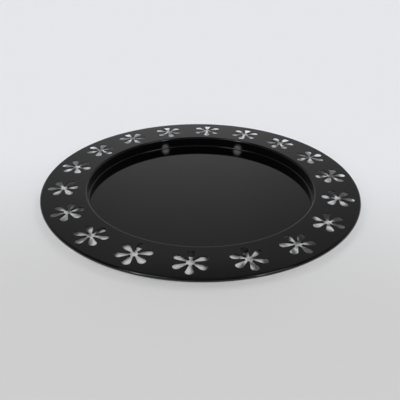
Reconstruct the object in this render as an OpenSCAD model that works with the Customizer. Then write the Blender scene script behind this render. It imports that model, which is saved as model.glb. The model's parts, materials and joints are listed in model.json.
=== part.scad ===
// Round serving tray: one pressed sheet-steel body with a flat well, an openwork rim and
// an edge rolled around a steel wire. It stands on four self-adhesive bumpers.
// +Z is up. The origin is on the tray's axis, at the surface that the tray stands on.

/* [Well] */
// Diameter of the flat well at its floor
well_d = 287; // [200:2:360]
// Depth from the rim's top face down to the floor
well_depth = 14.3; // [10:0.1:30]
// Lean of the well's wall away from vertical, in degrees
wall_draft = 1.5; // [0:0.5:15]
// Radius inside the corner between floor and wall
floor_bend_r = 1.5; // [0.5:0.1:4]
// Radius on top of the corner between wall and rim
rim_bend_r = 2; // [1.6:0.1:4]

/* [Sheet and rim] */
// Thickness of the coated steel sheet
sheet_t = 1; // [0.8:0.1:1.2]
// Width of the rim, from the well's wall to the tray's edge
rim_w = 56.5; // [44:0.5:80]

/* [Rolled edge] */
// Diameter of the wire inside the rolled edge
wire_d = 2; // [1.6:0.1:4]
// Clearance all round the wire
wire_gap = 0.1; // [0.05:0.05:0.2]
// How far the sheet wraps round the wire, in degrees
curl_sweep = 280; // [200:5:290]

/* [Openwork rosettes] */
// Number of rosettes round the rim
rosette_n = 18; // [6:1:20]
// Plain sheet between the rim's inner bend and a rosette
inner_land = 6.6; // [4:0.1:10]
// Plain sheet between a rosette and the rolled edge
outer_land = 3.6; // [2:0.1:8]
// Number of petals in a rosette
petal_n = 6; // [5:1:7]
// Radius of a petal's round end
petal_end_r = 4.4; // [3:0.1:4.6]
// Radius of the round hole where the petals meet
hub_r = 4.5; // [4:0.1:6]

/* [Bumpers] */
// Number of bumpers under the well
pad_n = 4; // [3:1:6]
// Diameter of a bumper
pad_d = 12; // [8:1:20]
// Thickness of a bumper without its adhesive
pad_t = 2; // [1.5:0.5:6]
// Radius round a bumper's lower edge
pad_round = 0.8; // [0.3:0.1:1.2]
// Distance from the well's wall in to a bumper's centre
pad_inset = 20; // [14:1:60]
// Thickness of the adhesive disc
adhesive_t = 0.2; // [0.1:0.05:0.4]
// Width by which the bumper overlaps its adhesive disc
adhesive_margin = 0.3; // [0.1:0.1:1]

/* [Hidden] */
$fn = 96;
// Largest turn between two points of a bend's outline, in degrees
bend_step = 12;

black_lacquer = "#161617";
bare_wire = "#8c9095";
clear_silicone = "#d4d6d2";
adhesive_film = "#b9a98c";

// Heights of the faces that stack on one another
base_z = pad_t + adhesive_t;
floor_z = base_z + sheet_t;
rim_z = floor_z + well_depth;

// Sharp corner where the well's wall would meet the rim
well_r = well_d / 2;
corner_r = well_r + well_depth * tan(wall_draft);

// Rolled edge: its centre lies one bead radius inside the tray's edge and below the rim's top
tray_r = well_r + rim_w;
bead_r = wire_d / 2 + wire_gap + sheet_t;
bead_centre = [tray_r - bead_r, rim_z - bead_r];

// Centre of the bend between floor and wall
floor_bend = [
    well_r - floor_bend_r * (1 - sin(wall_draft)) / cos(wall_draft),
    floor_z + floor_bend_r
];

// Centre of the bend between wall and rim
rim_bend = [
    corner_r + rim_bend_r * (1 - sin(wall_draft)) / cos(wall_draft),
    rim_z - rim_bend_r
];

// Rosettes fill the flat band of the rim between the two lands
rosette_r = (bead_centre[0] - bead_r - outer_land - rim_bend[0] - inner_land) / 2;
rosette_ring_r = rim_bend[0] + inner_land + rosette_r;
petal_out = rosette_r - petal_end_r;
petal_flare = asin(petal_end_r / petal_out);
petal_side = sqrt(petal_out * petal_out - petal_end_r * petal_end_r);

pad_ring_r = well_r - pad_inset;

function polar(r, a) = r * [cos(a), sin(a)];

// Points along an arc, from one angle to another
function arc(centre, r, from, to) =
    let (steps = ceil(abs(to - from) / bend_step))
    [for (i = [0:steps]) centre + polar(r, from + (to - from) * i / steps)];

function reversed(points) = [for (i = [len(points) - 1:-1:0]) points[i]];

// One face of the sheet, from the well's centre out to the end of the curl.
// depth is how far the face lies below the top face, measured through the sheet.
function sheet_face(depth) = concat(
    [[0, floor_z - depth]],
    arc(floor_bend, floor_bend_r + depth, -90, -wall_draft),
    arc(rim_bend, rim_bend_r - depth, 180 - wall_draft, 90),
    arc(bead_centre, bead_r - depth, 90, 90 - curl_sweep)
);

module tray_profile() {
    polygon(concat(sheet_face(0), reversed(sheet_face(sheet_t))));
}

// Teardrop that widens from the rosette's centre to a round end
module petal() {
    tangent = polar(petal_side, petal_flare);
    translate([petal_out, 0]) circle(r = petal_end_r);
    polygon([[0, 0], tangent, [tangent[0], -tangent[1]]]);
}

module rosette() {
    circle(r = hub_r);
    for (i = [0:petal_n - 1]) rotate(i * 360 / petal_n) petal();
}

module tray_body() {
    color(black_lacquer) difference() {
        rotate_extrude() tray_profile();
        for (i = [0:rosette_n - 1])
            rotate(i * 360 / rosette_n - 90)
                translate([rosette_ring_r, 0, rim_z - 2 * sheet_t])
                    linear_extrude(3 * sheet_t) rosette();
    }
}

module edge_wire() {
    color(bare_wire) rotate_extrude() translate(bead_centre) circle(d = wire_d);
}

module place_pad(i) {
    rotate((i - 0.5) * 360 / pad_n) translate([pad_ring_r, 0, 0]) children();
}

module bumper(i) {
    pad_r = pad_d / 2;
    color(clear_silicone) place_pad(i) rotate_extrude() {
        translate([0, pad_round]) square([pad_r, pad_t - pad_round]);
        square([pad_r - pad_round, pad_t]);
        intersection() {
            translate([pad_r - pad_round, pad_round]) circle(r = pad_round);
            square([pad_r, pad_t]);
        }
    }
}

module adhesive(i) {
    color(adhesive_film) place_pad(i)
        translate([0, 0, pad_t]) cylinder(d = pad_d - 2 * adhesive_margin, h = adhesive_t);
}

tray_body();
edge_wire();
for (i = [1:pad_n]) {
    bumper(i);
    adhesive(i);
}
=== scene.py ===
# %% [markdown]
# # A round serving tray with an openwork rim
#
# The tray is one sheet of steel, pressed into a shallow well and rolled over a wire at its
# edge, then coated in gloss black epoxy lacquer. Four clear silicone bumpers keep it off the
# table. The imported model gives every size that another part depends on, so it is loaded
# first, and everything below is worked out from it.

# %% Load the frame
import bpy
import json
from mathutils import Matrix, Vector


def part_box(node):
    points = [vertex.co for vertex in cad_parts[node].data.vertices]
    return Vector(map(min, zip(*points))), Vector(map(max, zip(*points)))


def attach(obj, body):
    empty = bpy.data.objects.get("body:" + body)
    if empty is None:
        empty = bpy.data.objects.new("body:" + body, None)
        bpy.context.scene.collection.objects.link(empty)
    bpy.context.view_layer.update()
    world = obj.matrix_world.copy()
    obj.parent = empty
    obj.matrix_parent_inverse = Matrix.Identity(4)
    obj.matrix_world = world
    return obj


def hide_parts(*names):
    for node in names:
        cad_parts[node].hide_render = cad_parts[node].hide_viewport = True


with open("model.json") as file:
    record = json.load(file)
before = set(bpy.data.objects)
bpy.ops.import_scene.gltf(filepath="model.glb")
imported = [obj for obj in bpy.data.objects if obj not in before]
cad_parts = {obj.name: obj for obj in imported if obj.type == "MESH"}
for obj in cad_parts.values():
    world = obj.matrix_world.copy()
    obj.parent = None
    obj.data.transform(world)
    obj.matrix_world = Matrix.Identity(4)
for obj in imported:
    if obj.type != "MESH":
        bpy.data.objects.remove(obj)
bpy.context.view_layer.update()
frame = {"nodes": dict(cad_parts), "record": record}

# %% [markdown]
# ## Sizes
#
# The scene is in metres and a tray maker works in millimetres, so one short function converts.
# Heights and the outer radius are read from the frame. The bends and the rosettes repeat the
# values of the part's source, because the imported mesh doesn't name them.

# %% Sizes from the frame and the press tool
import json
from math import asin, cos, pi, radians, sin, sqrt, tan

import bpy
from mathutils import Matrix, Vector


def mm(length):
    return length / 1000


def mount(name):
    return next(m for m in frame["record"]["mounts"] if m["name"] == name)


tray_low, tray_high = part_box("tray_body")
wire_low, wire_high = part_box("edge_wire")
tray_r = round(tray_high.x, 5)
rim_z = tray_high.z
base_z = tray_low.z
floor_z = mount("well_floor")["pos_m"][2]
sheet = floor_z - base_z

well_r = mm(143.5)
wall_draft = radians(1.5)
wall_flare = 2 * wall_draft
floor_bend_r = mm(1.5)
rim_bend_r = mm(2)
bead_r = rim_z - (wire_low.z + wire_high.z) / 2
curl_sweep = radians(280)

rosette_count = 18
petal_count = 6
petal_end_r = mm(4.4)
hub_r = mm(4.5)
inner_land = mm(6.6)
outer_land = mm(3.6)
print(f"tray radius {1000 * tray_r:.1f} mm, sheet {1000 * sheet:.2f} mm, "
      f"bead {2000 * bead_r:.2f} mm")

# %% [markdown]
# ## Working in edit mode from a script
#
# Every piece starts from a primitive and is shaped with the same operators that the menus
# call. Operators act on whatever is selected, so a piece begins with nothing selected, and
# parts of it are picked in code by where they are.

# %% Small helpers for operators
def start_piece():
    if bpy.context.object and bpy.context.object.mode != "OBJECT":
        bpy.ops.object.mode_set(mode="OBJECT")
    bpy.ops.object.select_all(action="DESELECT")


def pick(piece, kind, wanted):
    """Selects the vertices, edges or faces whose place meets wanted, and returns how many."""
    bpy.ops.object.mode_set(mode="OBJECT")
    mesh = piece.data
    for group in (mesh.vertices, mesh.edges, mesh.polygons):
        group.foreach_set("select", [False] * len(group))
    found = [item for item in getattr(mesh, kind) if wanted(mesh, item)]
    for item in found:
        item.select = True
    bpy.ops.object.mode_set(mode="EDIT")
    return len(found)


def extrude(step):
    bpy.ops.mesh.extrude_region_move(TRANSFORM_OT_translate={"value": tuple(step)})


def apply_modifier(piece, kind, **settings):
    modifier = piece.modifiers.new(kind.title(), kind)
    for name, value in settings.items():
        setattr(modifier, name, value)
    bpy.ops.object.modifier_apply(modifier=modifier.name)


def settle(piece, name):
    """Names a piece and puts its place into its mesh, so that its object sits at the origin."""
    bpy.ops.object.mode_set(mode="OBJECT")
    bpy.ops.object.transform_apply(location=True, rotation=True, scale=True)
    piece.name = piece.data.name = name
    return piece


# %% [markdown]
# ## The tray's outline
#
# A pressed tray is round, so half of its cross-section says everything but the cut-outs. The
# section could be typed in as a curve, but here it is drawn as a press would fold it: one
# point starts on the axis, is extruded along each flat, and is spun round each bend's centre.
# The wall looks straight but is drawn as a very flat curve, as steel may spring back out of
# the die: it leaves the floor upright and opens out by three degrees on its way up. A mirror
# finish shows that, because it squeezes every reflection in the wall. Only the sheet's upper
# face is drawn, because the thickness comes later and is the same everywhere. The drawing
# lies on the edge of one slice, an eighteenth of the tray.

# %% Where the bends lie
corner_r = well_r + (rim_z - floor_z) * tan(wall_draft)
bend_share = (1 - sin(wall_draft)) / cos(wall_draft)
rim_bend = (corner_r + rim_bend_r * bend_share, rim_z - rim_bend_r)
bead = (tray_r - bead_r, rim_z - bead_r)

wall_rise = (rim_bend[1] + rim_bend_r * sin(wall_flare)) - (floor_z + floor_bend_r)
wall_curve_r = wall_rise / sin(wall_flare)
wall_top_r = rim_bend[0] - rim_bend_r * cos(wall_flare)
wall_foot_r = wall_top_r - wall_curve_r * (1 - cos(wall_flare))
floor_bend = (wall_foot_r - floor_bend_r, floor_z + floor_bend_r)
wall_curve = (wall_foot_r + wall_curve_r, floor_bend[1])

rosette_r = (bead[0] - bead_r - outer_land - rim_bend[0] - inner_land) / 2
rosette_ring_r = rim_bend[0] + inner_land + rosette_r
print(f"rosettes {2000 * rosette_r:.1f} mm across, "
      f"on a circle of radius {1000 * rosette_ring_r:.1f} mm")

# %% Draw the section on the slice's first edge
slice_angle = 2 * pi / rosette_count
slice_steps = 20
guard = mm(1.2)

first_edge = radians(-90) - slice_angle / 2
out = Vector((cos(first_edge), sin(first_edge), 0))
up = Vector((0, 0, 1))


def section_point(r, z):
    return out * r + up * z


def turn(steps, angle, centre, axis, copies=False):
    """Spins the selection. The operator turns by the left-hand rule, so the axis is reversed."""
    bpy.ops.mesh.spin(
        steps=steps, angle=angle, center=tuple(centre), axis=tuple(-axis), dupli=copies)


def fold(steps, angle, bend):
    turn(steps, angle, section_point(*bend), out.cross(up))


def start_outline(place):
    """One vertex at place, selected, in edit mode: a plane merged to its centre."""
    start_piece()
    bpy.ops.mesh.primitive_plane_add(size=mm(1), location=(0, 0, 0))
    bpy.ops.object.mode_set(mode="EDIT")
    bpy.ops.mesh.merge(type="CENTER")
    bpy.ops.transform.translate(value=tuple(place))
    return bpy.context.object


body = start_outline(section_point(0, floor_z))
extrude(out * floor_bend[0])
fold(8, pi / 2, floor_bend)
fold(6, -wall_flare, wall_curve)
fold(10, wall_flare - pi / 2, rim_bend)
extrude(out * guard)
extrude(out * (bead[0] - rim_bend[0] - 2 * guard))
extrude(out * guard)
fold(40, -curl_sweep, bead)
bpy.ops.mesh.select_all(action="SELECT")
body.update_from_editmode()
print("points in the section:", len(body.data.vertices))

# %% [markdown]
# ## One slice of the tray
#
# Spinning the section through one eighteenth of a turn gives a slice. Two of its parts are
# flat: the floor and the rim. Each becomes a single face, since a flat that is cut into strips
# shows every strip once the lacquer mirrors the room. The rim's face keeps a narrow guard strip
# on both sides, so that the bends' shading stays out of it.

# %% Spin the slice and clear the rim's flat
turn(slice_steps, slice_angle, (0, 0, 0), up)
bpy.ops.mesh.select_all(action="SELECT")
bpy.ops.mesh.remove_doubles(threshold=mm(0.01))

flat_inner_r = rim_bend[0] + guard
flat_outer_r = bead[0] - guard


def reach(place):
    return sqrt(place.x**2 + place.y**2)


def spans_rim_flat(mesh, face):
    corners = [reach(mesh.vertices[v].co) for v in face.vertices]
    return min(corners) < flat_inner_r + mm(1) and max(corners) > flat_outer_r - mm(1)


print("strips in the rim's flat:", pick(body, "polygons", spans_rim_flat))
bpy.ops.mesh.dissolve_faces()
bpy.ops.mesh.delete(type="ONLY_FACE")


def touches_axis(mesh, face):
    return min(reach(mesh.vertices[v].co) for v in face.vertices) < mm(1)


print("strips in the floor:", pick(body, "polygons", touches_axis))
bpy.ops.mesh.dissolve_faces()

# %% [markdown]
# ## The rosette's outline
#
# A press cuts each rosette with one punch. Its outline is six equal petals: two straight sides
# that open out from the middle, and a round end that runs into both. One petal and the short
# arc to the next are drawn, and the other five are spun copies.

# %% Draw one petal and copy it round
petal_out = rosette_r - petal_end_r
petal_flare = asin(petal_end_r / petal_out)
petal_side = sqrt(petal_out**2 - petal_end_r**2)
petal_turn = 2 * pi / petal_count
ring_centre = Vector((0, -rosette_ring_r, rim_z))


def from_centre(distance, angle):
    """A point of the rosette, with angle 0 towards the tray's edge."""
    return ring_centre + distance * Vector((sin(angle), -cos(angle), 0))


rosette = start_outline(from_centre(hub_r, -petal_flare))
extrude(from_centre(petal_side, -petal_flare) - from_centre(hub_r, -petal_flare))
turn(20, pi + 2 * petal_flare, from_centre(petal_out, 0), up)
extrude(from_centre(hub_r, petal_flare) - from_centre(petal_side, petal_flare))
turn(3, petal_turn - 2 * petal_flare, ring_centre, up)
bpy.ops.mesh.select_all(action="SELECT")
turn(petal_count - 1, 2 * pi - petal_turn, ring_centre, up, copies=True)
bpy.ops.mesh.select_all(action="SELECT")
bpy.ops.mesh.remove_doubles(threshold=mm(0.01))
rosette.update_from_editmode()
print("points round a rosette:", len(rosette.data.vertices))

# %% [markdown]
# ## The rim's flat, with its hole
#
# A face can't have a hole, so the flat is made as two faces, left and right of the rosette.
# Two short edges join the rosette's tips to the slice's borders, and the edges on each side
# then close a loop that can be filled.

# %% Fill the rim's flat round the rosette
bpy.ops.object.mode_set(mode="OBJECT")
rosette.select_set(True)
body.select_set(True)
bpy.context.view_layer.objects.active = body
bpy.ops.object.join()


def on_middle_line(place):
    return abs(place.x) < mm(0.01) and abs(place.z - rim_z) < mm(0.01)


inner_join = (rosette_ring_r - rosette_r, flat_inner_r)
outer_join = (rosette_ring_r + rosette_r, flat_outer_r)
for tip_r, border_r in (inner_join, outer_join):
    def ends_this_join(mesh, vertex):
        r = reach(vertex.co)
        return on_middle_line(vertex.co) and min(abs(r - tip_r), abs(r - border_r)) < mm(0.05)

    ends = pick(body, "vertices", ends_this_join)
    bpy.ops.mesh.edge_face_add()
    print("ends of a joining edge:", ends)


def in_rim_flat(place):
    between = flat_inner_r - mm(0.05) < reach(place) < flat_outer_r + mm(0.05)
    return between and abs(place.z - rim_z) < mm(0.01)


for side in (-1, 1):
    def bounds_this_half(mesh, edge):
        a, b = (mesh.vertices[v].co for v in edge.vertices)
        return in_rim_flat(a) and in_rim_flat(b) and min(side * a.x, side * b.x) > -mm(0.01)

    edges = pick(body, "edges", bounds_this_half)
    bpy.ops.mesh.edge_face_add()
    print("edges round one half of the flat:", edges)

# %% [markdown]
# ## The whole sheet
#
# Seventeen copies of the slice complete the circle. Solidify then gives the sheet its
# thickness, downwards and inwards from the face that was drawn, and Bevel rounds every cut
# edge the way a coat of lacquer does. Weighted normals keep the flats flat to the light.

# %% Copy the slice round and give it thickness
bpy.ops.mesh.select_all(action="SELECT")
turn(rosette_count - 1, 2 * pi - slice_angle, (0, 0, 0), up, copies=True)
bpy.ops.mesh.select_all(action="SELECT")
bpy.ops.mesh.remove_doubles(threshold=mm(0.02))
bpy.ops.mesh.normals_make_consistent(inside=False)
tray = settle(body, "lacquered_tray")
floor_face = max(tray.data.polygons, key=lambda face: face.area)
if floor_face.normal.z < 0:
    tray.data.flip_normals()

cut_edge_r = mm(0.22)
apply_modifier(tray, "SOLIDIFY", thickness=sheet, offset=-1, use_even_offset=True)
apply_modifier(
    tray, "BEVEL", width=cut_edge_r, segments=3, limit_method="ANGLE", angle_limit=radians(50))
bpy.ops.object.mode_set(mode="EDIT")
bpy.ops.mesh.select_all(action="SELECT")
bpy.ops.mesh.remove_doubles(threshold=mm(0.002))
bpy.ops.object.mode_set(mode="OBJECT")
bpy.ops.object.shade_smooth()
apply_modifier(tray, "WEIGHTED_NORMAL", weight=100)
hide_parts("tray_body")
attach(tray, "root")
print("faces in the tray:", len(tray.data.polygons))

# %% [markdown]
# ## Bumpers and their adhesive
#
# A self-adhesive bumper is moulded in silicone: a low drum with a rounded foot and a shallow
# dimple where the mould was fed. A cylinder is the start. Its foot is inset for the dimple and
# its edges are bevelled. One is made and three are copied, each with its own mesh.

# %% Model one bumper
pad_low, pad_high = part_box("bumper_1")
pad_centre = (pad_low + pad_high) / 2
pad_r = (pad_high.x - pad_low.x) / 2
pad_t = pad_high.z - pad_low.z
foot_round, top_round = mm(0.8), mm(0.15)
foot_land, dimple_slope, dimple_depth = mm(3.4), mm(0.5), mm(0.25)
smooth_below = radians(35)


def faces_down(mesh, face):
    return face.normal.z < -0.999


def faces_up(mesh, face):
    return face.normal.z > 0.999


start_piece()
bpy.ops.mesh.primitive_cylinder_add(vertices=64, radius=pad_r, depth=pad_t, location=pad_centre)
bumper = bpy.context.object
pick(bumper, "polygons", faces_down)
bpy.ops.mesh.bevel(offset=foot_round, segments=8, affect="EDGES")
pick(bumper, "polygons", faces_up)
bpy.ops.mesh.bevel(offset=top_round, segments=3, affect="EDGES")
pick(bumper, "polygons", faces_down)
bpy.ops.mesh.inset(thickness=foot_land)
bpy.ops.mesh.inset(thickness=dimple_slope, depth=-dimple_depth)
bpy.ops.mesh.inset(thickness=mm(0.3), depth=-mm(0.05))
settle(bumper, "bumper_pad_1")
bpy.ops.object.shade_smooth_by_angle(angle=smooth_below)
print("faces in a bumper:", len(bumper.data.polygons))

# %% Model one adhesive disc
disc_low, disc_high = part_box("adhesive_1")
disc_r = (disc_high.x - disc_low.x) / 2
disc_t = disc_high.z - disc_low.z

start_piece()
bpy.ops.mesh.primitive_cylinder_add(
    vertices=64, radius=disc_r, depth=disc_t, location=(disc_low + disc_high) / 2)
disc = bpy.context.object
bpy.ops.object.mode_set(mode="EDIT")
bpy.ops.mesh.select_all(action="SELECT")
bpy.ops.mesh.bevel(offset=mm(0.05), segments=2, affect="EDGES")
settle(disc, "adhesive_disc_1")
bpy.ops.object.shade_smooth_by_angle(angle=smooth_below)
print("faces in an adhesive disc:", len(disc.data.polygons))

# %% Copy both to the other three places
pad_count = len([name for name in frame["nodes"] if name.startswith("bumper_")])
pads, discs = [bumper], [disc]
for number in range(2, pad_count + 1):
    quarter = Matrix.Rotation((number - 1) * 2 * pi / pad_count, 4, "Z")
    for pieces in (pads, discs):
        copy = pieces[0].copy()
        copy.data = pieces[0].data.copy()
        copy.data.transform(quarter)
        copy.name = copy.data.name = pieces[0].name[:-1] + str(number)
        bpy.context.collection.objects.link(copy)
        pieces.append(copy)

for number, (pad, film) in enumerate(zip(pads, discs), start=1):
    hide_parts(f"bumper_{number}")
    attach(pad, "root")
    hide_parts(f"adhesive_{number}")
    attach(film, "root")

# %% [markdown]
# ## Materials
#
# Each finish is one Principled shader, and its pattern is built from noise in Object
# coordinates, which are metres on every piece. A pattern's scale is therefore one over its
# size in metres. Colours are given as they look on a screen and turned to linear light.

# %% Helpers for node trees
def linear(code):
    channels = [int(code[i:i + 2], 16) / 255 for i in (1, 3, 5)]
    return (*[c / 12.92 if c <= 0.04045 else ((c + 0.055) / 1.055) ** 2.4 for c in channels], 1)


def per(length):
    """A texture's scale for a pattern that repeats about every length metres."""
    return 1 / length


def add(tree, kind, links=None, settings=None, **inputs):
    """Adds a node, sets its properties and inputs, and links other nodes' sockets into it."""
    node = tree.nodes.new(kind)
    for name, value in (settings or {}).items():
        setattr(node, name, value)
    for name, value in inputs.items():
        node.inputs[name.replace("_", " ")].default_value = value
    for name, socket in (links or {}).items():
        tree.links.new(socket, node.inputs[name])
    return node


def new_material(name, **principled):
    material = bpy.data.materials.new(name)
    material.use_nodes = True
    shader = material.node_tree.nodes["Principled BSDF"]
    for socket, value in principled.items():
        shader.inputs[socket.replace("_", " ")].default_value = value
    return material, material.node_tree, shader


# %% [markdown]
# ## Black epoxy lacquer on steel
#
# The coat is sprayed and baked. It is almost pure black, so what the eye sees is the room
# mirrored in its skin. The skin isn't a perfect mirror: the spray levels out to a faint orange
# peel a couple of millimetres wide, the pressed sheet under it waves a little, and a cloth
# leaves soft wipe marks in the gloss.

# %% Make the lacquer
lacquer, tree, shader = new_material(
    "black_epoxy_lacquer_on_steel", Base_Color=linear("#020203"), Roughness=0.05, IOR=1.5)
place = add(tree, "ShaderNodeTexCoord").outputs["Object"]
peel = add(tree, "ShaderNodeTexNoise", {"Vector": place}, Scale=per(mm(2.5)), Detail=2.0)
wave = add(tree, "ShaderNodeTexNoise", {"Vector": place}, Scale=per(mm(60)), Detail=1.0)
peel_bump = add(
    tree, "ShaderNodeBump", {"Height": peel.outputs["Fac"]}, Strength=1.0, Distance=mm(0.003))
wave_bump = add(
    tree, "ShaderNodeBump", {"Height": wave.outputs["Fac"], "Normal": peel_bump.outputs["Normal"]},
    Strength=1.0, Distance=mm(0.1))
wipe = add(
    tree, "ShaderNodeTexNoise", {"Vector": place}, Scale=per(mm(35)), Detail=6.0, Roughness=0.6)
gloss = add(
    tree, "ShaderNodeMapRange", {"Value": wipe.outputs["Fac"]},
    From_Min=0.3, From_Max=0.75, To_Min=0.035, To_Max=0.085)
tree.links.new(gloss.outputs["Result"], shader.inputs["Roughness"])
tree.links.new(wave_bump.outputs["Normal"], shader.inputs["Normal"])
tray.data.materials.append(lacquer)

# %% [markdown]
# ### Silicone, adhesive film and drawn wire
#
# Moulded silicone is milky and soft to the light. Its adhesive is a thin amber acrylic film.
# The wire was drawn through a die, so its brightness runs in fine lines round the ring. The
# rolled edge hides nearly all of it.

# %% Make the silicone
silicone, tree, shader = new_material(
    "moulded_silicone", Base_Color=linear("#c9cbc7"), Roughness=0.38, IOR=1.41,
    Subsurface_Weight=0.35, Subsurface_Scale=mm(1.5))
shader.inputs["Subsurface Radius"].default_value = (1.0, 0.9, 0.8)
place = add(tree, "ShaderNodeTexCoord").outputs["Object"]
skin = add(tree, "ShaderNodeTexNoise", {"Vector": place}, Scale=per(mm(0.6)), Detail=3.0)
cloud = add(tree, "ShaderNodeTexNoise", {"Vector": place}, Scale=per(mm(4)), Detail=2.0)
tint = add(tree, "ShaderNodeMix", {"Factor": cloud.outputs["Fac"]}, {"data_type": "RGBA"})
tint.inputs["A"].default_value = linear("#bfc1bd")
tint.inputs["B"].default_value = linear("#d6d8d3")
skin_bump = add(
    tree, "ShaderNodeBump", {"Height": skin.outputs["Fac"]}, Strength=0.5, Distance=mm(0.02))
tree.links.new(tint.outputs["Result"], shader.inputs["Base Color"])
tree.links.new(skin_bump.outputs["Normal"], shader.inputs["Normal"])
for pad in pads:
    pad.data.materials.append(silicone)

# %% Make the adhesive film
film_finish, tree, shader = new_material(
    "acrylic_adhesive_film", Base_Color=linear("#b39f78"), Roughness=0.5, IOR=1.47)
place = add(tree, "ShaderNodeTexCoord").outputs["Object"]
streak = add(tree, "ShaderNodeTexNoise", {"Vector": place}, Scale=per(mm(1.2)), Detail=3.0)
tint = add(tree, "ShaderNodeMix", {"Factor": streak.outputs["Fac"]}, {"data_type": "RGBA"})
tint.inputs["A"].default_value = linear("#a38f69")
tint.inputs["B"].default_value = linear("#c2b08a")
tree.links.new(tint.outputs["Result"], shader.inputs["Base Color"])
for film in discs:
    film.data.materials.append(film_finish)

# %% Make the drawn wire
drawn, tree, shader = new_material(
    "drawn_steel_wire", Base_Color=linear("#9a9c9f"), Metallic=1.0, Roughness=0.35)
place = add(tree, "ShaderNodeTexCoord").outputs["Object"]
apart = add(tree, "ShaderNodeSeparateXYZ", {"Vector": place})
across_ring = add(tree, "ShaderNodeVectorMath", {"Vector": place}, {"operation": "LENGTH"})
lines_at = add(
    tree, "ShaderNodeCombineXYZ", {"X": across_ring.outputs["Value"], "Y": apart.outputs["Z"]})
lines = add(
    tree, "ShaderNodeTexNoise", {"Vector": lines_at.outputs["Vector"]},
    Scale=per(mm(0.12)), Detail=2.0)
rough = add(
    tree, "ShaderNodeMapRange", {"Value": lines.outputs["Fac"]},
    From_Min=0.3, From_Max=0.7, To_Min=0.25, To_Max=0.45)
line_bump = add(
    tree, "ShaderNodeBump", {"Height": lines.outputs["Fac"]}, Strength=0.6, Distance=mm(0.01))
tree.links.new(rough.outputs["Result"], shader.inputs["Roughness"])
tree.links.new(line_bump.outputs["Normal"], shader.inputs["Normal"])
wire = frame["nodes"]["edge_wire"]
wire.data.materials.clear()
wire.data.materials.append(drawn)

# %% [markdown]
# ## Floor, light and camera
#
# A black mirror shows what is around it, so the room matters more than the lamps. The room is
# painted on the world with soft edges: a pale backdrop behind the tray that reaches about
# forty degrees up, a bright line all round at the horizon, a softbox on each side that draws
# the sheen on the rolled edge and the well's rim, and two small lamps in front that glow in
# the well's far wall. A wide key light does the work of lighting the floor. It stands low in
# front, so the shadow falls backwards, where the tray hides it, and the light that comes down
# through a rosette lands where its outer petals show it. The key is kept out of the mirror,
# where its hard edge would show.

# %% Lay the floor
def grey(value):
    return (value, value, value, 1)


floor_r = 12
near_tone_until, far_tone_from = -0.24, 0.12

start_piece()
bpy.ops.mesh.primitive_circle_add(vertices=128, radius=floor_r, fill_type="NGON")
floor = bpy.context.object
floor.name = "floor"
paper, tree, shader = new_material("floor_paper", Roughness=0.9, Specular_IOR_Level=0.0)
place = add(tree, "ShaderNodeTexCoord").outputs["Object"]
depth = add(tree, "ShaderNodeSeparateXYZ", {"Vector": place}).outputs["Y"]
# The floor's colour runs smoothly from a darker grey in front to a paler, slightly bluer grey
# behind.
fade = add(
    tree, "ShaderNodeMapRange", {"Value": depth}, {"interpolation_type": "SMOOTHSTEP"},
    From_Min=near_tone_until, From_Max=far_tone_from)
tone = add(tree, "ShaderNodeMix", {"Factor": fade.outputs["Result"]}, {"data_type": "RGBA"})
tone.inputs["A"].default_value = linear("#cdcdcd")
tone.inputs["B"].default_value = linear("#e4e5e9")
tree.links.new(tone.outputs["Result"], shader.inputs["Base Color"])
floor.data.materials.append(paper)

# %% Paint the room on the world
def heading(turn_from_back, height):
    """A direction, from degrees clockwise of +Y and degrees above the floor."""
    side, lift = radians(turn_from_back), radians(height)
    return Vector((cos(lift) * sin(side), cos(lift) * cos(side), sin(lift)))


def add_ramp(angle, whole, stops):
    """Light that changes with an angle in radians; stops are pairs of degrees and light."""
    share = add(tree, "ShaderNodeMath", {0: angle}, {"operation": "DIVIDE"})
    share.inputs[1].default_value = radians(whole)
    ramp = add(tree, "ShaderNodeValToRGB", {"Fac": share.outputs["Value"]})
    while len(ramp.color_ramp.elements) < len(stops):
        ramp.color_ramp.elements.new(0.5)
    for stop, (at, light) in zip(ramp.color_ramp.elements, stops):
        stop.position = at / whole
        stop.color = grey(light)
    return ramp.outputs["Color"]


def angle_from(direction, centre):
    """The angle between a direction in the room and a fixed one."""
    facing = add(tree, "ShaderNodeVectorMath", {0: direction}, {"operation": "DOT_PRODUCT"})
    facing.inputs[1].default_value = centre
    angle = add(tree, "ShaderNodeMath", {0: facing.outputs["Value"]}, {"operation": "ARCCOSINE"})
    return angle.outputs["Value"]


def combine(operation, one, other):
    both = add(tree, "ShaderNodeVectorMath", {0: one, 1: other}, {"operation": operation})
    return both.outputs["Vector"]


world = bpy.data.worlds.new("pale_studio")
bpy.context.scene.world = world
world.use_nodes = True
tree = world.node_tree
sky = add(tree, "ShaderNodeTexCoord").outputs["Generated"]
rise = add(tree, "ShaderNodeSeparateXYZ", {"Vector": sky}).outputs["Z"]
height = add(tree, "ShaderNodeMath", {0: rise}, {"operation": "ARCSINE"}).outputs["Value"]
level = add(tree, "ShaderNodeVectorMath", {0: sky}, {"operation": "MULTIPLY"})
level.inputs[1].default_value = (1, 1, 0)
bearing = add(
    tree, "ShaderNodeVectorMath", {0: level.outputs["Vector"]}, {"operation": "NORMALIZE"})
aside = angle_from(bearing.outputs["Vector"], heading(-5, 0))

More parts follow.
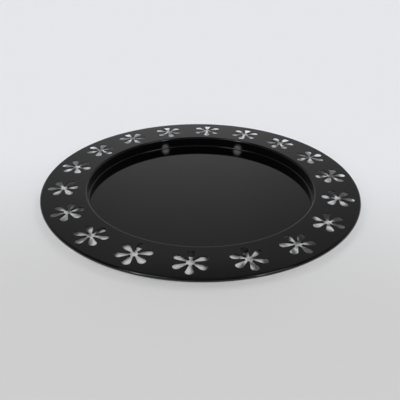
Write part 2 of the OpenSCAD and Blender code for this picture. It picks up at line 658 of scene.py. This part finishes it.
backdrop = add_ramp(height, 90, (
    (0, 0.0), (8, 0.25), (14, 0.6), (20, 0.52), (24, 0.45),
    (30, 0.38), (34, 0.33), (36, 0.31), (39, 0.12), (50, 0.0)))
spread = add_ramp(aside, 180, (
    (0, 1.0), (6, 0.97), (13, 0.8), (20, 0.64), (40, 0.5), (90, 0.4), (130, 0.25)))
room = combine("MULTIPLY", backdrop, spread)
haze = add_ramp(height, 90, ((0, 1.0), (8, 0.9), (15, 0.0)))
far_floor = add_ramp(aside, 180, ((0, 0.78), (84, 0.78), (96, 0.61), (180, 0.61)))
horizon = combine("MULTIPLY", haze, far_floor)
ceiling = add_ramp(height, 90, ((36, 0.0), (42, 0.04), (60, 0.06), (90, 0.34)))
room = combine("ADD", combine("ADD", room, horizon), ceiling)

# Each glow is a direction and its light at so many degrees from there: the two side softboxes
# first, and then the two lamps.
glows = (
    (heading(118, 50), ((0, 3.0), (7, 2.6), (15, 0.0))),
    (heading(-138, 50), ((0, 3.0), (8, 2.6), (17, 0.0))),
    (heading(137, 25), ((0, 16.0), (2.5, 14.0), (4.2, 0.0))),
    (heading(-142, 25), ((0, 16.0), (2.8, 14.0), (4.6, 0.0))),
)
for centre, stops in glows:
    room = combine("ADD", room, add_ramp(angle_from(sky, centre), 20, stops))
tree.links.new(room, tree.nodes["Background"].inputs["Color"])

# %% Light the floor
key_light = bpy.data.lights.new("key_light", "SUN")
key_light.angle = radians(9)
key_light.energy = 3.25
key = bpy.data.objects.new("key_light", key_light)
bpy.context.collection.objects.link(key)
key.rotation_euler = heading(170, 38).to_track_quat("Z", "Y").to_euler()
key.visible_glossy = False

# %% Set up the camera
camera_data = bpy.data.cameras.new("camera")
camera = bpy.data.objects.new("camera", camera_data)
bpy.context.collection.objects.link(camera)
bpy.context.scene.camera = camera
camera_data.sensor_width = 36
camera_data.lens = 47.06
bpy.context.scene.view_settings.view_transform = "Standard"

distance, azimuth, elevation, roll = mm(673.1), radians(3.07), radians(27.95), radians(0.6)
rim_centre = Vector((0, 0, rim_z))
aim = rim_centre + Vector((mm(1.95), -mm(47.2), 0))
camera.location = rim_centre + distance * Vector(
    (cos(elevation) * sin(azimuth), -cos(elevation) * cos(azimuth), sin(elevation)))
look = (camera.location - aim).to_track_quat("Z", "Y")
camera.rotation_euler = (look.to_matrix() @ Matrix.Rotation(roll, 3, "Z")).to_euler()
